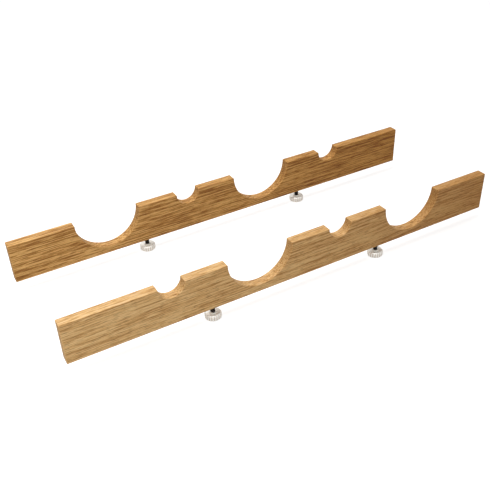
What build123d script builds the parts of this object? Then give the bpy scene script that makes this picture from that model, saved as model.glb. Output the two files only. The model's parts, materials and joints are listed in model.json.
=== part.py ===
from build123d import *
import os

# A pair of oak cradle rails for bottles lying head to tail. Each rail is a flat board stood on
# edge, with wide and narrow half-round cut-outs in its top edge. Two studs hang from the
# underside of each rail, and a knurled thumb nut with a thin washer on every stud clamps the
# rail to a shelf that the studs pass through.
#
# Frame: millimetres, +Z up, X along the rails, Y across them with -Y at the front. The origin
# is under the middle of the pair, in the plane that the four nuts stand on.

# rails
RAIL_LENGTH = 550.0
RAIL_HEIGHT = 49.0
RAIL_THICKNESS = 12.0
RAIL_ARRIS = 0.6
RAIL_SPACING = 162.0
RAIL_STAGGER = 8.0

# cut-outs, in order from the rail's own left end
BODY_RADIUS = 40.0
NECK_RADIUS = 15.0
CUTOUT_PITCH = 105.0
CUTOUT_RADII = (BODY_RADIUS, NECK_RADIUS, BODY_RADIUS, NECK_RADIUS)

# studs, M5 x 0.8
STUD_SPACING = 222.0
STUD_DIAMETER = 5.0
STUD_DROP = 15.0
STUD_GRIP = 10.0
STUD_CHAMFER = 0.5
SOCKET_ACROSS_FLATS = 2.5
SOCKET_DEPTH = 2.5

# threaded inserts in the rail's underside
INSERT_DIAMETER = 8.0
INSERT_LENGTH = 12.0
INSERT_RECESS = 0.3
INSERT_CHAMFER = 0.4
INSERT_HOLE_DEPTH = 13.0

# washers
WASHER_DIAMETER = 9.0
WASHER_THICKNESS = 1.0
WASHER_HOLE = 5.3

# knurled thumb nuts
NUT_DIAMETER = 19.0
NUT_HEIGHT = 7.0
NUT_TOP_DROP = 8.5
NUT_HOLE = 5.12
NUT_COUNTERSINK = 0.6
NUT_FOOT_CHAMFER = 0.8
NUT_TOP_CHAMFER = 1.5
FLUTE_COUNT = 20
FLUTE_RADIUS = 1.0
FLUTE_DEPTH = 0.45

# clearances
GLUE_GAP = 0.02
THREAD_GAP = 0.02
SEAT_GAP = 0.02

# heights that follow from the sizes above
UNDERSIDE_Z = NUT_TOP_DROP + NUT_HEIGHT
RAIL_TOP_Z = UNDERSIDE_Z + RAIL_HEIGHT
NUT_TOP_Z = NUT_HEIGHT


def upright_cylinder(diameter, low, high):
    """A cylinder about the Z axis between two heights."""
    return Pos(0, 0, low) * Cylinder(
        diameter / 2, high - low, align=(Align.CENTER, Align.CENTER, Align.MIN)
    )


def stud_offsets():
    """Where the two studs of a rail are, along the rail from its middle."""
    return (-STUD_SPACING / 2, STUD_SPACING / 2)


def make_rail():
    """One board about its own middle, with its cut-outs, its insert holes and eased edges."""
    board = Pos(0, 0, UNDERSIDE_Z) * Box(
        RAIL_LENGTH,
        RAIL_THICKNESS,
        RAIL_HEIGHT,
        align=(Align.CENTER, Align.CENTER, Align.MIN),
    )
    first = -CUTOUT_PITCH * (len(CUTOUT_RADII) - 1) / 2
    for index, radius in enumerate(CUTOUT_RADII):
        across = Rot(90, 0, 0) * Cylinder(radius, 2 * RAIL_THICKNESS)
        board -= Pos(first + index * CUTOUT_PITCH, 0, RAIL_TOP_Z) * across
    board = fillet(board.edges(), RAIL_ARRIS)
    for x in stud_offsets():
        hole = upright_cylinder(
            INSERT_DIAMETER + 2 * GLUE_GAP,
            UNDERSIDE_Z - RAIL_ARRIS,
            UNDERSIDE_Z + INSERT_HOLE_DEPTH,
        )
        board -= Pos(x, 0, 0) * hole
    return board


def make_insert():
    """A threaded sleeve in the rail's underside, bored for the stud and eased at both mouths."""
    low = UNDERSIDE_Z + INSERT_RECESS
    high = low + INSERT_LENGTH
    sleeve = chamfer(upright_cylinder(INSERT_DIAMETER, low, high).edges(), INSERT_CHAMFER)
    bore = upright_cylinder(STUD_DIAMETER + 2 * THREAD_GAP, low, high)
    return sleeve - bore


def make_stud():
    """A headless screw with a hexagon socket in its lower end."""
    low = UNDERSIDE_Z - STUD_DROP
    high = UNDERSIDE_Z + STUD_GRIP
    screw = chamfer(upright_cylinder(STUD_DIAMETER, low, high).edges(), STUD_CHAMFER)
    hexagon = RegularPolygon(SOCKET_ACROSS_FLATS / 2, 6, major_radius=False)
    socket = extrude(Pos(0, 0, low) * hexagon, amount=SOCKET_DEPTH)
    return screw - socket


def make_washer():
    """A flat ring that lies on the nut."""
    low = NUT_TOP_Z + SEAT_GAP
    high = low + WASHER_THICKNESS
    return upright_cylinder(WASHER_DIAMETER, low, high) - upright_cylinder(WASHER_HOLE, low, high)


def make_nut():
    """A round nut with bevelled rims, straight flutes around it and a countersunk hole."""
    body = upright_cylinder(NUT_DIAMETER, 0, NUT_TOP_Z)
    body = chamfer(body.edges().group_by(Axis.Z)[0], NUT_FOOT_CHAMFER)
    body = chamfer(body.edges().group_by(Axis.Z)[-1], NUT_TOP_CHAMFER)
    hole = upright_cylinder(NUT_HOLE, 0, NUT_TOP_Z)
    mouth_radius = NUT_HOLE / 2 + NUT_COUNTERSINK
    low_mouth = Cone(
        mouth_radius,
        NUT_HOLE / 2,
        NUT_COUNTERSINK,
        align=(Align.CENTER, Align.CENTER, Align.MIN),
    )
    high_mouth = Pos(0, 0, NUT_TOP_Z) * Rot(180, 0, 0) * low_mouth
    body -= hole + low_mouth + high_mouth
    flute_centre = NUT_DIAMETER / 2 + FLUTE_RADIUS - FLUTE_DEPTH
    flute = upright_cylinder(2 * FLUTE_RADIUS, 0, NUT_TOP_Z)
    for place in PolarLocations(flute_centre, FLUTE_COUNT):
        body -= place * flute
    return body


def write(node, solid, place):
    """Put a solid in its place and save it under its node's name."""
    placed = place * solid
    placed.label = node
    export_step(placed, f"parts/{node}.step")


def main():
    os.makedirs("parts", exist_ok=True)
    # The front rail is the same board turned end for end, so a wide cut-out faces a narrow one.
    rails = {
        "rear": Pos(-RAIL_STAGGER / 2, RAIL_SPACING / 2, 0),
        "front": Pos(RAIL_STAGGER / 2, -RAIL_SPACING / 2, 0) * Rot(0, 0, 180),
    }
    hardware = {
        "threaded_insert": make_insert(),
        "stud": make_stud(),
        "washer": make_washer(),
        "thumb_nut": make_nut(),
    }
    rail = make_rail()
    for row, place in rails.items():
        write(f"{row}_rail", rail, place)
        centre = place.position
        for side, x in zip(("left", "right"), stud_offsets()):
            for name, solid in hardware.items():
                write(f"{row}_{side}_{name}", solid, Pos(centre.X + x, centre.Y, 0))


main()
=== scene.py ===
import json
import math

import bmesh
import bpy
from mathutils import Matrix, Vector

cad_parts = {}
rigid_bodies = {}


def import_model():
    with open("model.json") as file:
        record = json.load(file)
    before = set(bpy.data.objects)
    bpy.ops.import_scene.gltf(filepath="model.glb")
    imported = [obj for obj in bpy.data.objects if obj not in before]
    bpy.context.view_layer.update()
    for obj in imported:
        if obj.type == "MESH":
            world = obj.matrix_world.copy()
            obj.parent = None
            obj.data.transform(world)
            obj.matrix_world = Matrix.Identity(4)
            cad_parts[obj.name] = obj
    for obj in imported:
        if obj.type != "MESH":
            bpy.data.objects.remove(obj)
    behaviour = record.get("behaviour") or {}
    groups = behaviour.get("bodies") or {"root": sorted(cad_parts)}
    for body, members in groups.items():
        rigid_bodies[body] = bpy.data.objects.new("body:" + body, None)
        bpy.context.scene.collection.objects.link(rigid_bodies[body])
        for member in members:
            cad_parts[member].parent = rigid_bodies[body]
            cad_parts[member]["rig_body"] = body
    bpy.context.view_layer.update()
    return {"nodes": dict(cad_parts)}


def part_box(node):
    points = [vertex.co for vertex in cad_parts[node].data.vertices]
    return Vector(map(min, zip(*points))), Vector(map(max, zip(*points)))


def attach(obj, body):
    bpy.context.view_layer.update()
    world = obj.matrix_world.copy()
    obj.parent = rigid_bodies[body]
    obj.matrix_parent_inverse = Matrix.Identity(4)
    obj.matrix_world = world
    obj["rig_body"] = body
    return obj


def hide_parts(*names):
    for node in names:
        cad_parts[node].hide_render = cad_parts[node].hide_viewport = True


# Looks of a pair of oak cradle rails for bottles. Every piece is built in the frame of the packed
# model, in metres, from the boxes of the nodes that it replaces. MM turns millimetres into metres.

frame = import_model()

MM = 0.001
MERGE = 1e-7
STAND_NAMES = ("rear_left", "rear_right", "front_left", "front_right")

# rails
ARRIS = 0.6 * MM
ARRIS_STEPS = 4
ARRIS_FADE = 2.4 * MM
BODY_RADIUS = 40.0 * MM
NECK_RADIUS = 15.0 * MM
CUTOUT_PITCH = 105.0 * MM
CUTOUT_STEP = 2.0 * MM
STUD_HALF_SPACING = 111.0 * MM
INSERT_HOLE_RADIUS = 4.02 * MM
INSERT_HOLE_DEPTH = 13.0 * MM
HOLE_STEPS = 32

# threads
THREAD_PITCH = 0.8 * MM
THREAD_DEPTH = 0.46 * MM
THREAD_ROWS = 8
STUD_STEPS = 36
STUD_CHAMFER = 0.5 * MM
SOCKET_ACROSS_FLATS = 2.5 * MM
SOCKET_DEPTH = 2.5 * MM
INSERT_PITCH = 1.5 * MM
INSERT_THREAD_DEPTH = 0.35 * MM
INSERT_BORE = 2.52 * MM
INSERT_CHAMFER = 0.5 * MM

# nuts and washers
NUT_RADIUS = 9.5 * MM
FLUTES = 20
FLUTE_RADIUS = 1.0 * MM
FLUTE_DEPTH = 0.45 * MM
FLUTE_STEPS = 16
NUT_BORE = 2.56 * MM
NUT_COUNTERSINK = 0.6 * MM
NUT_FOOT_CHAMFER = 0.8 * MM
NUT_TOP_CHAMFER = 1.5 * MM
NUT_EDGE = 0.15 * MM
WASHER_BORE = 2.65 * MM
WASHER_EDGE = 0.15 * MM
LATHE_STEPS = 72

# oak, where a scale is in turns of noise per millimetre along, across and up the board
SWAY_SCALE = (0.0045, 0.02, 0.02)
SWAY_HEIGHT = 9.0
RING_SLOPE = 0.3
UNEVEN_SCALE = (0.006, 0.08, 0.16)
UNEVEN_SHARE = 1.3
EARLYWOOD_SHARE = 0.55
BROAD_SCALE = (0.006, 0.25, 0.33)
STRAND_SCALE = (0.013, 0.6, 0.62)
FIBRE_SCALE = (0.045, 1.1, 1.1)
CLOUD_SCALE = (0.012, 0.05, 0.05)
PORE_SCALE = (0.11, 0.72, 0.72)
CHATTER_SCALE = (0.9, 0.04, 0.0)
TONE_MIDDLE = 0.66
EARLYWOOD_WEIGHT = -0.55
BROAD_WEIGHT = 0.8
STRAND_WEIGHT = 3.2
FIBRE_WEIGHT = 4.0
CLOUD_WEIGHT = 0.4
# The oak turns darker and browner towards the right end over HALF_RAIL with curve DRIFT_POWER: partly the
# wood's own tone, partly painted shade where the light falls off.
HALF_RAIL = 275.0
DRIFT_POWER = 1.6
PORE_TINT = (0.42, 0.34, 0.28, 1)
# Pale specks on the upward faces only: partly chalky filled pores, partly a painted sheen of the light on
# the tops.
CHALK_AND_SHEEN_COLOUR = (0.86, 0.66, 0.44, 1)
END_GRAIN_TINT = (0.58, 0.55, 0.50, 1)
# Orange colour on the rounded edges: partly worn finish, partly a painted highlight along the arrises.
WORN_EDGE_AND_HIGHLIGHT_COLOUR = (0.60, 0.31, 0.10, 1)
OAK_IOR = 1.48
OAK_SPECULAR = 0.25

# metals
NICKEL_DULL = (0.86, 0.84, 0.79, 1)
NICKEL_BRIGHT = (0.97, 0.96, 0.91, 1)
# Colour in the hollows of the flutes, browner and darker than the plate.
NICKEL_GROOVE_BROWN = (0.50, 0.36, 0.25, 1)
NICKEL_METALLIC = 0.6
STEEL_DARK = (0.014, 0.013, 0.013, 1)
STEEL_PALE = (0.035, 0.032, 0.030, 1)
STEEL_RUBBED = (0.20, 0.19, 0.18, 1)
STEEL_METALLIC = 0.85
BRASS_CLEAN = (0.78, 0.56, 0.24, 1)
BRASS_TARNISHED = (0.50, 0.33, 0.14, 1)

# floor and surroundings
PAPER_DARK = (0.56, 0.56, 0.56, 1)
PAPER_PALE = (0.60, 0.60, 0.60, 1)
FLOOR_GLOW_SEEN = 0.7
FLOOR_GLOW_MIRRORED = 0.45
FLOOR_SIZE = 6.0
FLOOR_DROP = 0.2 * MM
WORLD_LIGHT = 0.34
WORLD_SEEN = 0.95

# lights: place, target, size in metres and power in watts
LIGHTS = {
    "overhead": ((-0.30, 0.10, 1.1), (-0.12, 0.0, 0.0), (0.9, 0.9), 10.0),
    "front_left": ((-0.5, -1.1, 0.45), (-0.25, -0.08, 0.03), (0.6, 0.5), 1.9),
    "left": ((-0.8, -0.16, 0.22), (-0.25, -0.08, 0.03), (0.3, 0.3), 0.8),
    "back_left": ((-0.05, 1.25, 1.05), (-0.15, 0.0, 0.05), (0.8, 0.4), 2.2),
}

# camera
CAMERA_PLACE = (-0.35452, -0.61712, 0.49251)
CAMERA_FORWARD = (0.39414, 0.72747, -0.56164)
CAMERA_RIGHT = (0.86799, -0.49550, -0.03267)
CAMERA_LENS = 51.342
SENSOR_WIDTH = 36.0
CLIP_RANGE = (0.01, 50.0)


# ---------------------------------------------------------------- node helpers


def add_node(tree, kind, inputs=None, **settings):
    """A new shader node; inputs maps a socket to a value or to another node's output."""
    made = tree.nodes.new(kind)
    for key, value in settings.items():
        setattr(made, key, value)
    for key, value in (inputs or {}).items():
        if isinstance(value, bpy.types.NodeSocket):
            tree.links.new(value, made.inputs[key])
        else:
            made.inputs[key].default_value = value
    return made


def calc(tree, operation, *values):
    made = add_node(tree, "ShaderNodeMath", dict(enumerate(values)), operation=operation)
    return made.outputs[0]


def scaled(tree, vector, factors):
    made = add_node(tree, "ShaderNodeVectorMath", {0: vector, 1: factors}, operation="MULTIPLY")
    return made.outputs[0]


def noise(tree, vector, scale=1.0, detail=2.0, roughness=0.5, distortion=0.0):
    sockets = {
        "Vector": vector,
        "Scale": scale,
        "Detail": detail,
        "Roughness": roughness,
        "Distortion": distortion,
    }
    return add_node(tree, "ShaderNodeTexNoise", sockets).outputs["Fac"]


def remap(tree, value, low, high, to_low=0.0, to_high=1.0):
    sockets = {
        "Value": value,
        "From Min": low,
        "From Max": high,
        "To Min": to_low,
        "To Max": to_high,
    }
    return add_node(tree, "ShaderNodeMapRange", sockets, clamp=True).outputs["Result"]


def mix_colour(tree, factor, first, second, blend="MIX"):
    made = add_node(tree, "ShaderNodeMix", data_type="RGBA", blend_type=blend)
    for index, value in ((0, factor), (6, first), (7, second)):
        if isinstance(value, bpy.types.NodeSocket):
            tree.links.new(value, made.inputs[index])
        else:
            made.inputs[index].default_value = value
    return made.outputs[2]


def ramp(tree, value, stops):
    made = add_node(tree, "ShaderNodeValToRGB", {"Fac": value})
    elements = made.color_ramp.elements
    while len(elements) < len(stops):
        elements.new(0.5)
    for element, (place, colour) in zip(elements, stops):
        element.position = place
        element.color = (*colour, 1.0)
    return made.outputs["Color"]


def attribute(tree, name, output="Fac"):
    return add_node(tree, "ShaderNodeAttribute", attribute_name=name).outputs[output]


def start_material(name):
    made = bpy.data.materials.new(name)
    made.use_nodes = True
    tree = made.node_tree
    shader = tree.nodes["Principled BSDF"]
    return made, tree, shader


def bump(tree, height, strength, distance):
    sockets = {"Height": height, "Strength": strength, "Distance": distance}
    return add_node(tree, "ShaderNodeBump", sockets).outputs["Normal"]


# ---------------------------------------------------------------- materials


def oak(name, dark, middle, light, far_tone_and_shade, ring_pitch, contrast, pore_depth, chalky_sheen, seed):
    """Oak with its growth rings standing on edge, so that they draw lines along the wide faces.

    grain is the place in the board in millimetres, end tells how much the surface cuts across
    the fibres, top how much it faces up, arris how near a rounded edge is, and cut is the
    distance along a cut-out. The tint given for the right end of the board is partly the
    wood's own tone and partly painted shade where the light falls off towards the right.
    """
    made, tree, shader = start_material(name)
    grain = attribute(tree, "grain", "Vector")
    end = attribute(tree, "end")
    top = attribute(tree, "top")
    arris = attribute(tree, "arris")
    along, across, up = add_node(tree, "ShaderNodeSeparateXYZ", {0: grain}).outputs
    shift = {0: grain, 1: (seed, seed, seed)}
    moved = add_node(tree, "ShaderNodeVectorMath", shift, operation="ADD").outputs[0]

    sway = noise(tree, scaled(tree, moved, SWAY_SCALE), detail=1.0)
    level = calc(tree, "MULTIPLY_ADD", sway, SWAY_HEIGHT, up)
    level = calc(tree, "MULTIPLY_ADD", across, RING_SLOPE, level)
    uneven = noise(tree, scaled(tree, moved, UNEVEN_SCALE), detail=1.0)
    rings = calc(tree, "MULTIPLY", level, 1.0 / ring_pitch)
    phase = calc(tree, "MULTIPLY_ADD", uneven, UNEVEN_SHARE, rings)
    number = calc(tree, "FLOOR", phase)
    share = calc(tree, "FRACT", phase)
    white = add_node(tree, "ShaderNodeTexWhiteNoise", {"W": number}, noise_dimensions="1D")
    strength = remap(tree, white.outputs["Value"], 0.0, 1.0, 0.25, 1.0)
    early = calc(tree, "MULTIPLY", remap(tree, share, 0.0, EARLYWOOD_SHARE, 1.0, 0.0), strength)

    strand_space = add_node(tree, "ShaderNodeCombineXYZ", {"X": along, "Y": across, "Z": level}).outputs[0]
    broad = noise(tree, scaled(tree, strand_space, BROAD_SCALE), detail=2.0, roughness=0.6)
    strand = noise(tree, scaled(tree, strand_space, STRAND_SCALE), detail=2.0, roughness=0.7)
    fibre = noise(tree, scaled(tree, moved, FIBRE_SCALE), detail=3.0, roughness=0.75)
    cloud = noise(tree, scaled(tree, moved, CLOUD_SCALE), detail=2.0)
    pore_field = noise(tree, scaled(tree, moved, PORE_SCALE), detail=1.0, roughness=0.5)
    pores = remap(tree, pore_field, 0.56, 0.62)
    pores = calc(tree, "MULTIPLY", pores, calc(tree, "MULTIPLY_ADD", early, 0.6, 0.4))

    tone = calc(tree, "MULTIPLY_ADD", early, EARLYWOOD_WEIGHT * contrast, TONE_MIDDLE)
    for field, weight in ((broad, BROAD_WEIGHT), (strand, STRAND_WEIGHT), (fibre, FIBRE_WEIGHT)):
        tone = calc(tree, "MULTIPLY_ADD", calc(tree, "SUBTRACT", field, 0.5), weight * contrast, tone)
    tone = calc(tree, "MULTIPLY_ADD", calc(tree, "SUBTRACT", cloud, 0.5), CLOUD_WEIGHT, tone)
    colour = ramp(tree, tone, ((0.08, dark), (0.52, middle), (0.95, light)))

    # Darker and browner towards the right end: partly the wood's own tone, partly painted shade of the
    # light falling off to the right.
    tone_and_shade_drift = calc(tree, "POWER", remap(tree, along, -HALF_RAIL, HALF_RAIL), DRIFT_POWER)
    tone_and_shade_tint = mix_colour(tree, tone_and_shade_drift, (1, 1, 1, 1), (*far_tone_and_shade, 1))
    colour = mix_colour(tree, 1.0, colour, tone_and_shade_tint, "MULTIPLY")
    deep = mix_colour(tree, 1.0, colour, PORE_TINT, "MULTIPLY")
    colour = mix_colour(tree, calc(tree, "MULTIPLY", pores, pore_depth), colour, deep)
    # Pale specks on the upward faces only: partly chalky filled pores, partly a painted sheen of the light
    # on the tops.
    chalk_and_sheen = calc(tree, "MULTIPLY", top, remap(tree, pore_field, 0.50, 0.36, 0.0, chalky_sheen))
    pale_chalk_and_sheen = mix_colour(tree, 1.0, tone_and_shade_tint, CHALK_AND_SHEEN_COLOUR, "MULTIPLY")
    colour = mix_colour(tree, chalk_and_sheen, colour, pale_chalk_and_sheen)
    across_fibres = remap(tree, end, 0.25, 1.0, 0.0, 0.95)
    colour = mix_colour(tree, across_fibres, colour, END_GRAIN_TINT, "MULTIPLY")
    # Orange colour on the rounded edges: partly worn finish, partly a painted highlight along the arrises.
    near = calc(tree, "POWER", arris, 3.0)
    worn_and_highlight = calc(tree, "MULTIPLY", near, remap(tree, cloud, 0.3, 0.7, 0.1, 0.45))
    colour = mix_colour(tree, worn_and_highlight, colour, WORN_EDGE_AND_HIGHLIGHT_COLOUR)
    tree.links.new(colour, shader.inputs["Base Color"])

    rough = remap(tree, tone, 0.1, 0.9, 0.60, 0.46)
    rough = calc(tree, "MULTIPLY_ADD", pores, 0.25, rough)
    rough = calc(tree, "MULTIPLY_ADD", end, 0.12, rough)
    tree.links.new(rough, shader.inputs["Roughness"])

    chatter = noise(tree, scaled(tree, attribute(tree, "cut", "Vector"), CHATTER_SCALE), detail=2.0)
    height = calc(tree, "MULTIPLY_ADD", fibre, 0.5, calc(tree, "MULTIPLY", pores, -0.9))
    height = calc(tree, "MULTIPLY_ADD", early, -0.4, height)
    height = calc(tree, "MULTIPLY_ADD", chatter, 0.4, height)
    tree.links.new(bump(tree, height, 0.5, 0.12 * MM), shader.inputs["Normal"])
    shader.inputs["IOR"].default_value = OAK_IOR
    shader.inputs["Specular IOR Level"].default_value = OAK_SPECULAR
    return made


def nickel(name):
    """Satin nickel plate: turning marks round the faces, haze, and browner, darker colour in the hollows
    of the flutes.
    """
    made, tree, shader = start_material(name)
    local = attribute(tree, "local", "Vector")
    groove = attribute(tree, "groove")
    height = add_node(tree, "ShaderNodeSeparateXYZ", {0: local}).outputs["Z"]
    flat = scaled(tree, local, (1, 1, 0))
    reach = add_node(tree, "ShaderNodeVectorMath", {0: flat}, operation="LENGTH").outputs["Value"]
    lathe = add_node(tree, "ShaderNodeCombineXYZ", {"X": reach, "Y": height}).outputs[0]
    turned = noise(tree, lathe, scale=7.0, detail=3.0, roughness=0.7)
    haze = noise(tree, local, scale=0.35, detail=3.0)
    scratch = noise(tree, scaled(tree, local, (5.0, 0.6, 2.0)), detail=4.0, roughness=0.7)
    colour = mix_colour(tree, haze, NICKEL_DULL, NICKEL_BRIGHT)
    # Browner and darker in the hollows of the flutes.
    colour = mix_colour(tree, calc(tree, "MULTIPLY", groove, 0.6), colour, NICKEL_GROOVE_BROWN)
    tree.links.new(colour, shader.inputs["Base Color"])
    shader.inputs["Metallic"].default_value = NICKEL_METALLIC
    rough = calc(tree, "MULTIPLY_ADD", haze, 0.14, 0.30)
    rough = calc(tree, "MULTIPLY_ADD", scratch, 0.14, rough)
    tree.links.new(rough, shader.inputs["Roughness"])
    relief = calc(tree, "MULTIPLY_ADD", scratch, 0.4, turned)
    tree.links.new(bump(tree, relief, 0.25, 0.03 * MM), shader.inputs["Normal"])
    return made


def black_steel(name):
    """Black oxide with oily patches, rubbed paler on the crests of the thread."""
    made, tree, shader = start_material(name)
    local = attribute(tree, "local", "Vector")
    crest = attribute(tree, "crest")
    oil = noise(tree, local, scale=0.8, detail=3.0)
    pit = noise(tree, local, scale=7.0, detail=3.0, roughness=0.65)
    colour = mix_colour(tree, oil, STEEL_DARK, STEEL_PALE)
    rubbed = calc(tree, "MULTIPLY", remap(tree, crest, 0.75, 1.0), remap(tree, pit, 0.42, 0.62))
    colour = mix_colour(tree, calc(tree, "MULTIPLY", rubbed, 0.5), colour, STEEL_RUBBED)
    tree.links.new(colour, shader.inputs["Base Color"])
    shader.inputs["Metallic"].default_value = STEEL_METALLIC
    tree.links.new(calc(tree, "MULTIPLY_ADD", pit, 0.25, 0.28), shader.inputs["Roughness"])
    tree.links.new(bump(tree, pit, 0.25, 0.03 * MM), shader.inputs["Normal"])
    return made


def brass(name):
    """Turned brass, browner where it has tarnished."""
    made, tree, shader = start_material(name)
    local = attribute(tree, "local", "Vector")
    tarnish = noise(tree, local, scale=0.7, detail=4.0, roughness=0.6)
    turned = noise(tree, scaled(tree, local, (2.0, 2.0, 9.0)), detail=3.0, roughness=0.6)
    colour = mix_colour(tree, remap(tree, tarnish, 0.35, 0.7), BRASS_CLEAN, BRASS_TARNISHED)
    tree.links.new(colour, shader.inputs["Base Color"])
    shader.inputs["Metallic"].default_value = 1.0
    tree.links.new(calc(tree, "MULTIPLY_ADD", tarnish, 0.3, 0.2), shader.inputs["Roughness"])
    tree.links.new(bump(tree, turned, 0.3, 0.04 * MM), shader.inputs["Normal"])
    return made


def pale_floor(name):
    """Pale paper that glows a little for the camera and in mirrors, so it looks evenly white."""
    made, tree, shader = start_material(name)
    place = add_node(tree, "ShaderNodeTexCoord").outputs["Object"]
    paper = noise(tree, place, scale=60.0, detail=3.0)
    colour = mix_colour(tree, paper, PAPER_DARK, PAPER_PALE)
    tree.links.new(colour, shader.inputs["Base Color"])
    tree.links.new(calc(tree, "MULTIPLY_ADD", paper, 0.1, 0.8), shader.inputs["Roughness"])
    shader.inputs["Specular IOR Level"].default_value = 0.1
    rays = add_node(tree, "ShaderNodeLightPath").outputs
    seen = calc(tree, "MULTIPLY", rays["Is Camera Ray"], FLOOR_GLOW_SEEN)
    glow = calc(tree, "MULTIPLY_ADD", rays["Is Glossy Ray"], FLOOR_GLOW_MIRRORED, seen)
    shader.inputs["Emission Color"].default_value = (1.0, 1.0, 1.0, 1.0)
    tree.links.new(glow, shader.inputs["Emission Strength"])
    return made


# ---------------------------------------------------------------- mesh helpers


def new_piece(name, mesh_data, material, body, node, smooth_angle=35.0):
    """Links a finished bmesh as a piece that stands for a CAD node and moves with its body."""
    mesh = bpy.data.meshes.new(name)
    bmesh.ops.recalc_face_normals(mesh_data, faces=mesh_data.faces)
    mesh_data.to_mesh(mesh)
    mesh_data.free()
    mesh.shade_smooth()
    mesh.set_sharp_from_angle(angle=math.radians(smooth_angle))
    mesh.materials.append(material)
    made = bpy.data.objects.new(name, mesh)
    bpy.context.scene.collection.objects.link(made)
    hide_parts(node)
    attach(made, body)
    return made


def point_values(piece, name, values):
    made = piece.data.attributes.new(name, "FLOAT", "POINT")
    made.data.foreach_set("value", values)


def point_vectors(piece, name, vectors):
    made = piece.data.attributes.new(name, "FLOAT_VECTOR", "POINT")
    made.data.foreach_set("vector", [number for vector in vectors for number in vector])


def give_local(piece, centre):
    point_vectors(piece, "local", [(vertex.co - centre) / MM for vertex in piece.data.vertices])


def bridge(mesh_data, first, second, closed=True):
    """Quads between two rings of vertices."""
    count = len(first)
    for index in range(count if closed else count - 1):
        after = (index + 1) % count
        corners = (first[index], first[after], second[after], second[index])
        mesh_data.faces.new(corners)


def centre_of(node):
    low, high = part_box(node)
    return (low + high) / 2


# ---------------------------------------------------------------- rails


def arc_points(centre, radius, start, stop, steps):
    return [
        (
            centre[0] + radius * math.cos(start + (stop - start) * step / steps),
            centre[1] + radius * math.sin(start + (stop - start) * step / steps),
        )
        for step in range(steps + 1)
    ]


def rail_outline(inset, half_length, height, seats, marks):
    """The board's profile seen from the front, moved inwards by inset, with every corner rounded.

    seats are (centre, radius) of the cut-outs from left to right. marks are places along the
    bottom that need a point. The number of points doesn't depend on inset.
    """
    rounded = max(ARRIS - inset, 0.0)
    deep = max(inset, ARRIS)
    points = []
    points += arc_points((-half_length + deep, deep), rounded, -math.pi, -math.pi / 2, ARRIS_STEPS)
    inner = half_length - ARRIS - ARRIS_FADE
    for place in [-inner, *marks, inner]:
        points.append((place, inset))
    points += arc_points((half_length - deep, deep), rounded, -math.pi / 2, 0.0, ARRIS_STEPS)
    points.append((half_length - inset, ARRIS + ARRIS_FADE))
    points.append((half_length - inset, height - ARRIS - ARRIS_FADE))
    points += arc_points((half_length - deep, height - deep), rounded, 0.0, math.pi / 2, ARRIS_STEPS)
    right = half_length
    for centre, radius in reversed(seats):
        reach = math.sqrt((radius + deep) ** 2 - deep**2)
        tilt = math.asin(deep / (radius + deep))
        points.append((right - ARRIS - ARRIS_FADE, height - inset))
        points.append((centre + radius + ARRIS + ARRIS_FADE, height - inset))
        lip = (centre + reach, height - deep)
        points += arc_points(lip, rounded, math.pi / 2, math.pi - tilt, ARRIS_STEPS)
        shoulder = ARRIS_FADE / radius
        steps = round(math.pi * radius / CUTOUT_STEP)
        start, stop = -tilt - shoulder, -math.pi + tilt + shoulder
        points += arc_points((centre, height), radius + inset, start, stop, steps)
        points += arc_points((centre - reach, height - deep), rounded, tilt, math.pi / 2, ARRIS_STEPS)
        right = centre - radius
    points.append((right - ARRIS - ARRIS_FADE, height - inset))
    points.append((-half_length + ARRIS + ARRIS_FADE, height - inset))
    points += arc_points((-half_length + deep, height - deep), rounded, math.pi / 2, math.pi, ARRIS_STEPS)
    points.append((-half_length + inset, height - ARRIS - ARRIS_FADE))
    points.append((-half_length + inset, ARRIS + ARRIS_FADE))
    return points


def rail_profile(half_thickness):
    """(inset, y) of each ring of the board from the front face to the back face."""
    edge = [
        (ARRIS * (1 - math.sin(turn)), -half_thickness + ARRIS * (1 - math.cos(turn)))
        for turn in (math.pi / 2 * step / ARRIS_STEPS for step in range(ARRIS_STEPS + 1))
    ]
    front = [(ARRIS + ARRIS_FADE, -half_thickness), *edge]
    return front + [(inset, -y) for inset, y in reversed(front)]


def make_rail(node, radii, material):
    low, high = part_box(node)
    middle = Vector(((low.x + high.x) / 2, (low.y + high.y) / 2, low.z))
    half_length, half_thickness = (high.x - low.x) / 2, (high.y - low.y) / 2
    height = high.z - low.z
    first = -CUTOUT_PITCH * (len(radii) - 1) / 2
    seats = [(first + CUTOUT_PITCH * index, radius) for index, radius in enumerate(radii)]
    patch = half_thickness - ARRIS
    marks = [
        side * STUD_HALF_SPACING + offset
        for side in (-1, 1)
        for offset in (-patch, patch)
    ]

    made = bmesh.new()
    rings = []
    for inset, y in rail_profile(half_thickness):
        outline = rail_outline(inset, half_length, height, seats, marks)
        rings.append([made.verts.new((middle.x + x, middle.y + y, middle.z + z)) for x, z in outline])
    base = {
        round(place, 9): index
        for index, (place, z) in enumerate(rail_outline(0.0, half_length, height, seats, marks))
        if z == 0.0 and place in marks
    }
    holes = [(base[round(marks[pair], 9)], base[round(marks[pair + 1], 9)]) for pair in (0, 2)]
    flat = ARRIS_STEPS + 1, len(rings) - ARRIS_STEPS - 3
    for number, (ring, after) in enumerate(zip(rings, rings[1:])):
        count = len(ring)
        for index in range(count):
            following = (index + 1) % count
            if flat[0] <= number <= flat[1] and any(index == left for left, right in holes):
                continue
            made.faces.new((ring[index], ring[following], after[following], after[index]))
    for ring in (rings[0], rings[-1]):
        made.faces.new(ring)
    for left, right in holes:
        drill(made, rings[flat[0]:flat[1] + 2], left, right)
    bmesh.ops.remove_doubles(made, verts=made.verts, dist=MERGE)
    bmesh.ops.dissolve_degenerate(made, edges=made.edges, dist=MERGE)
    body = frame["nodes"][node]["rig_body"]
    piece = new_piece(node + "_oak", made, material, body, node)
    rail_values(piece, middle, half_length, half_thickness, height, seats)
    return piece


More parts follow.
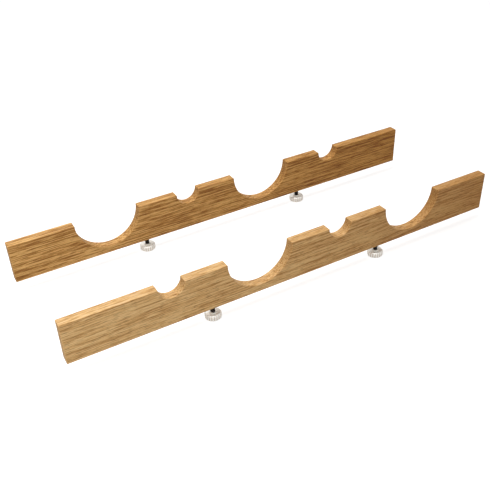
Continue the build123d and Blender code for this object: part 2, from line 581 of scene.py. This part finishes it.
def drill(made, rings, left, right):
    """Fills the square that was left open in the underside round a round hole, and sinks the hole."""
    around = [ring[left] for ring in rings] + [ring[right] for ring in reversed(rings)]
    edges = []
    for first, second in zip(around, around[1:] + around[:1]):
        edges.append(made.edges.get((first, second)) or made.edges.new((first, second)))
    centre = (rings[0][left].co + rings[-1][right].co) / 2
    circle = []
    for step in range(HOLE_STEPS):
        turn = 2 * math.pi * step / HOLE_STEPS
        offset = Vector((math.cos(turn), math.sin(turn), 0.0)) * INSERT_HOLE_RADIUS
        circle.append(made.verts.new(centre + offset))
    for first, second in zip(circle, circle[1:] + circle[:1]):
        edges.append(made.edges.new((first, second)))
    bmesh.ops.triangle_fill(made, use_beauty=True, use_dissolve=False, edges=edges)
    lift = Vector((0.0, 0.0, INSERT_HOLE_DEPTH))
    roof = [made.verts.new(vertex.co + lift) for vertex in circle]
    bridge(made, circle, roof)
    made.faces.new(roof)


def rail_values(piece, middle, half_length, half_thickness, height, seats):
    """Stores what the oak material needs to know at each point of the board."""
    grain, end, top, arris, cut = [], [], [], [], []
    for vertex in piece.data.vertices:
        x, y, z = vertex.co - middle
        grain.append((x / MM, y / MM, z / MM))
        end.append(abs(vertex.normal.x) ** 1.5 if abs(vertex.normal.y) < 0.3 else 0.0)
        top.append(max(vertex.normal.z, 0.0))
        inside = [half_length - abs(x), z, height - z]
        along = 0.0
        for centre, radius in seats:
            distance = math.hypot(x - centre, height - z)
            inside.append(distance - radius)
            if distance < radius + ARRIS / 2:
                along = radius * math.atan2(x - centre, height - z)
        to_outline = sorted(max(gap, 0.0) for gap in inside)
        to_face = half_thickness - abs(y)
        nearest = sorted((to_outline[0], to_outline[1], to_face))[1]
        arris.append(1.0 - min(nearest / ARRIS_FADE, 1.0))
        cut.append((along / MM, y / MM, 0.0))
    point_vectors(piece, "grain", grain)
    point_vectors(piece, "cut", cut)
    point_values(piece, "end", end)
    point_values(piece, "top", top)
    point_values(piece, "arris", arris)


# ---------------------------------------------------------------- hardware


def thread_radius(phase, crest, depth):
    """Radius of a V thread whose crest and root are flattened; phase runs from 0 to 1 a turn."""
    away = abs((phase % 1.0) * 2 - 1)
    slope = min(max((away - 0.125) / 0.625, 0.0), 1.0)
    return crest - depth * slope


def threaded_rings(made, centre, low, high, crest, depth, pitch, steps, chamfer):
    """Rings of a helical thread from low to high. Points past an end are drawn back to it."""
    rings = []
    rows = math.ceil((high - low) / pitch * THREAD_ROWS)
    for row in range(-THREAD_ROWS, rows + 1):
        ring = []
        for step in range(steps + 1):
            share = step / steps
            z = low + pitch * (row / THREAD_ROWS + share)
            z = min(max(z, low), high)
            radius = thread_radius((z - low) / pitch - share, crest, depth)
            radius = min(radius, crest - chamfer + (z - low), crest - chamfer + (high - z))
            turn = 2 * math.pi * share
            place = (centre.x + radius * math.cos(turn), centre.y + radius * math.sin(turn), z)
            ring.append(made.verts.new(place))
        rings.append(ring)
    for first, second in zip(rings, rings[1:]):
        bridge(made, first, second, closed=False)
    return rings


def end_ring(made, centre, z, crest, depth, pitch, low, chamfer, steps):
    """The outline of the thread where it is cut off flat at z."""
    ring = []
    for step in range(steps + 1):
        share = step / steps
        radius = min(thread_radius((z - low) / pitch - share, crest, depth), crest - chamfer)
        turn = 2 * math.pi * share
        place = (centre.x + radius * math.cos(turn), centre.y + radius * math.sin(turn), z)
        ring.append(made.verts.new(place))
    return ring


def make_stud(prefix, material):
    node = prefix + "_stud"
    low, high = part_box(node)
    centre = centre_of(node)
    crest = (high.x - low.x) / 2
    made = bmesh.new()
    shape = (THREAD_DEPTH, THREAD_PITCH)
    threaded_rings(made, centre, low.z, high.z, crest, *shape, STUD_STEPS, STUD_CHAMFER)
    lower = end_ring(made, centre, low.z, crest, *shape, low.z, STUD_CHAMFER, STUD_STEPS)
    upper = end_ring(made, centre, high.z, crest, *shape, low.z, STUD_CHAMFER, STUD_STEPS)
    mouth, floor = [], []
    for step in range(STUD_STEPS + 1):
        turn = 2 * math.pi * step / STUD_STEPS
        corner = (turn + math.pi / 6) % (math.pi / 3) - math.pi / 6
        radius = SOCKET_ACROSS_FLATS / 2 / math.cos(corner)
        x, y = centre.x + radius * math.cos(turn), centre.y + radius * math.sin(turn)
        mouth.append(made.verts.new((x, y, low.z)))
        floor.append(made.verts.new((x, y, low.z + SOCKET_DEPTH)))
    bridge(made, lower, mouth, closed=False)
    bridge(made, mouth, floor, closed=False)
    made.faces.new(floor[:-1])
    made.faces.new(upper[:-1])
    bmesh.ops.remove_doubles(made, verts=made.verts, dist=MERGE)
    bmesh.ops.dissolve_degenerate(made, edges=made.edges, dist=MERGE)
    body = frame["nodes"][node]["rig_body"]
    piece = new_piece(prefix + "_threaded_stud", made, material, body, node, 25.0)
    give_local(piece, centre)
    reach = [math.hypot(v.co.x - centre.x, v.co.y - centre.y) / crest for v in piece.data.vertices]
    point_values(piece, "crest", reach)
    return piece


def make_insert(prefix, material):
    node = prefix + "_threaded_insert"
    low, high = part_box(node)
    centre = centre_of(node)
    crest = (high.x - low.x) / 2
    made = bmesh.new()
    shape = (INSERT_THREAD_DEPTH, INSERT_PITCH)
    threaded_rings(made, centre, low.z, high.z, crest, *shape, STUD_STEPS, INSERT_CHAMFER)
    for z in (low.z, high.z):
        ring = end_ring(made, centre, z, crest, *shape, low.z, INSERT_CHAMFER, STUD_STEPS)
        inward = 1 if z == low.z else -1
        mouth, throat = [], []
        for step in range(STUD_STEPS + 1):
            turn = 2 * math.pi * step / STUD_STEPS
            away = Vector((math.cos(turn), math.sin(turn), 0.0))
            flat = Vector((centre.x, centre.y, z))
            mouth.append(made.verts.new(flat + away * (INSERT_BORE + INSERT_CHAMFER / 2)))
            sunk = flat + Vector((0, 0, inward * INSERT_CHAMFER / 2))
            throat.append(made.verts.new(sunk + away * INSERT_BORE))
        bridge(made, ring, mouth, closed=False)
        bridge(made, mouth, throat, closed=False)
        if z == low.z:
            lower_throat = throat
    bridge(made, lower_throat, throat, closed=False)
    bmesh.ops.remove_doubles(made, verts=made.verts, dist=MERGE)
    bmesh.ops.dissolve_degenerate(made, edges=made.edges, dist=MERGE)
    body = frame["nodes"][node]["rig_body"]
    piece = new_piece(prefix + "_brass_sleeve", made, material, body, node, 30.0)
    give_local(piece, centre)
    return piece


def rounded_corner(r, z, radius, start, steps=4):
    """Points of a quarter round about (r, z), anticlockwise from the angle start in degrees."""
    return [
        (
            r + radius * math.cos(math.radians(start + 90.0 * step / steps)),
            z + radius * math.sin(math.radians(start + 90.0 * step / steps)),
        )
        for step in range(steps + 1)
    ]


def make_washer(prefix, material):
    node = prefix + "_washer"
    low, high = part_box(node)
    centre = centre_of(node)
    outer = (high.x - low.x) / 2
    left, right = WASHER_BORE + WASHER_EDGE, outer - WASHER_EDGE
    bottom, top = low.z + WASHER_EDGE, high.z - WASHER_EDGE
    profile = []
    profile += rounded_corner(right, bottom, WASHER_EDGE, -90.0)
    profile += rounded_corner(right, top, WASHER_EDGE, 0.0)
    profile += rounded_corner(left, top, WASHER_EDGE, 90.0)
    profile += rounded_corner(left, bottom, WASHER_EDGE, 180.0)
    made = bmesh.new()
    rings = []
    for radius, z in profile:
        rings.append([
            made.verts.new((
                centre.x + radius * math.cos(2 * math.pi * step / LATHE_STEPS),
                centre.y + radius * math.sin(2 * math.pi * step / LATHE_STEPS),
                z,
            ))
            for step in range(LATHE_STEPS)
        ])
    for first, second in zip(rings, rings[1:] + rings[:1]):
        bridge(made, first, second)
    body = frame["nodes"][node]["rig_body"]
    piece = new_piece(prefix + "_flat_washer", made, material, body, node, 50.0)
    give_local(piece, centre)
    point_values(piece, "groove", [0.0] * len(piece.data.vertices))
    return piece


def flute_depth(turn):
    """How deep the grip is cut at this angle, by flutes of round section."""
    pitch = 2 * math.pi / FLUTES
    away = abs((turn + pitch / 2) % pitch - pitch / 2) * NUT_RADIUS
    sunk = FLUTE_RADIUS**2 - away**2
    if sunk <= 0:
        return 0.0
    return max(math.sqrt(sunk) - (FLUTE_RADIUS - FLUTE_DEPTH), 0.0)


def make_nut(prefix, material):
    node = prefix + "_thumb_nut"
    low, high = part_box(node)
    centre = centre_of(node)
    rim, edge = NUT_RADIUS, NUT_EDGE
    profile = [
        (NUT_BORE, low.z + NUT_COUNTERSINK),
        (NUT_BORE + NUT_COUNTERSINK, low.z),
        (rim - NUT_FOOT_CHAMFER - edge, low.z),
        (rim - NUT_FOOT_CHAMFER + edge / 2, low.z + edge / 2),
        (rim - edge / 2, low.z + NUT_FOOT_CHAMFER - edge / 2),
        (rim, low.z + NUT_FOOT_CHAMFER + edge),
        (rim, high.z - NUT_TOP_CHAMFER - edge),
        (rim - edge / 2, high.z - NUT_TOP_CHAMFER + edge / 2),
        (rim - NUT_TOP_CHAMFER + edge / 2, high.z - edge / 2),
        (rim - NUT_TOP_CHAMFER - edge, high.z),
        (NUT_BORE + NUT_COUNTERSINK, high.z),
        (NUT_BORE, high.z - NUT_COUNTERSINK),
    ]
    made = bmesh.new()
    rings = []
    steps = FLUTES * FLUTE_STEPS
    for radius, z in profile:
        ring = []
        for step in range(steps):
            turn = 2 * math.pi * step / steps
            reach = min(radius, rim - flute_depth(turn))
            place = (centre.x + reach * math.cos(turn), centre.y + reach * math.sin(turn), z)
            ring.append(made.verts.new(place))
        rings.append(ring)
    for first, second in zip(rings, rings[1:] + rings[:1]):
        bridge(made, first, second)
    bmesh.ops.remove_doubles(made, verts=made.verts, dist=MERGE)
    body = frame["nodes"][node]["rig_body"]
    piece = new_piece(prefix + "_fluted_nut", made, material, body, node, 28.0)
    give_local(piece, centre)
    grooves = []
    for vertex in piece.data.vertices:
        x, y = vertex.co.x - centre.x, vertex.co.y - centre.y
        on_rim = math.hypot(x, y) > rim - FLUTE_DEPTH - edge
        grooves.append(flute_depth(math.atan2(y, x)) / FLUTE_DEPTH if on_rim else 0.0)
    point_values(piece, "groove", grooves)
    return piece


# ---------------------------------------------------------------- stage, light and camera


def make_floor():
    made = bmesh.new()
    bmesh.ops.create_grid(made, x_segments=8, y_segments=8, size=FLOOR_SIZE)
    mesh = bpy.data.meshes.new("floor")
    made.to_mesh(mesh)
    made.free()
    mesh.materials.append(pale_floor("pale_paper"))
    floor = bpy.data.objects.new("floor", mesh)
    floor.location = (0.0, 0.0, -FLOOR_DROP)
    bpy.context.scene.collection.objects.link(floor)


def aim(thing, target):
    thing.rotation_mode = "QUATERNION"
    thing.rotation_quaternion = (Vector(target) - thing.location).to_track_quat("-Z", "Y")


def soft_light(name, place, target, size, power):
    data = bpy.data.lights.new(name, "AREA")
    data.shape = "RECTANGLE"
    data.size, data.size_y = size
    data.energy = power
    light = bpy.data.objects.new(name, data)
    light.location = place
    aim(light, target)
    bpy.context.scene.collection.objects.link(light)


def make_world(strength, seen):
    """Even white surroundings: strength is what lights the object, seen is what mirrors show."""
    world = bpy.data.worlds.new("studio")
    world.use_nodes = True
    tree = world.node_tree
    rays = add_node(tree, "ShaderNodeLightPath").outputs
    direct = calc(tree, "MAXIMUM", rays["Is Camera Ray"], rays["Is Glossy Ray"])
    background = tree.nodes["Background"]
    background.inputs["Color"].default_value = (1.0, 1.0, 1.0, 1.0)
    level = remap(tree, direct, 0.0, 1.0, strength, seen)
    tree.links.new(level, background.inputs["Strength"])
    bpy.context.scene.world = world


def make_camera():
    data = bpy.data.cameras.new("camera")
    data.sensor_width = SENSOR_WIDTH
    data.lens = CAMERA_LENS
    data.clip_start, data.clip_end = CLIP_RANGE
    camera = bpy.data.objects.new("camera", data)
    forward = Vector(CAMERA_FORWARD).normalized()
    right = Vector(CAMERA_RIGHT).normalized()
    up = right.cross(forward).normalized()
    turned = Matrix((right, up, -forward)).transposed().to_4x4()
    camera.matrix_world = Matrix.Translation(CAMERA_PLACE) @ turned
    bpy.context.scene.collection.objects.link(camera)
    bpy.context.scene.camera = camera


REAR_OAK = oak(
    "rear_oak",
    dark=(0.32, 0.136, 0.029),
    middle=(0.60, 0.304, 0.082),
    light=(0.79, 0.472, 0.165),
    # tint at the right end: partly wood tone, partly painted shade of the light falling off to the right
    far_tone_and_shade=(0.70, 0.56, 0.32),
    ring_pitch=2.7,
    contrast=1.25,
    pore_depth=0.6,
    # pale specks on upward faces: partly filled pores, partly painted sheen on the tops
    chalky_sheen=0.10,
    seed=17.0,
)
FRONT_OAK = oak(
    "front_oak",
    dark=(0.47, 0.235, 0.072),
    middle=(0.74, 0.435, 0.165),
    light=(0.88, 0.600, 0.275),
    # tint at the right end: partly wood tone, partly painted shade of the light falling off to the right
    far_tone_and_shade=(0.62, 0.46, 0.26),
    ring_pitch=2.0,
    contrast=0.8,
    pore_depth=0.8,
    # pale specks on upward faces: partly filled pores, partly painted sheen on the tops
    chalky_sheen=0.35,
    seed=431.0,
)
make_rail("rear_rail", (BODY_RADIUS, NECK_RADIUS, BODY_RADIUS, NECK_RADIUS), REAR_OAK)
make_rail("front_rail", (NECK_RADIUS, BODY_RADIUS, NECK_RADIUS, BODY_RADIUS), FRONT_OAK)
metal = nickel("nickel_plate")
steel, sleeve = black_steel("black_oxide"), brass("brass")
for prefix in STAND_NAMES:
    make_insert(prefix, sleeve)
    make_stud(prefix, steel)
    make_washer(prefix, metal)
    make_nut(prefix, metal)

make_floor()
make_world(WORLD_LIGHT, WORLD_SEEN)
for name, (place, target, size, power) in LIGHTS.items():
    soft_light(name, place, target, size, power)
make_camera()
bpy.context.scene.view_settings.view_transform = "Standard"
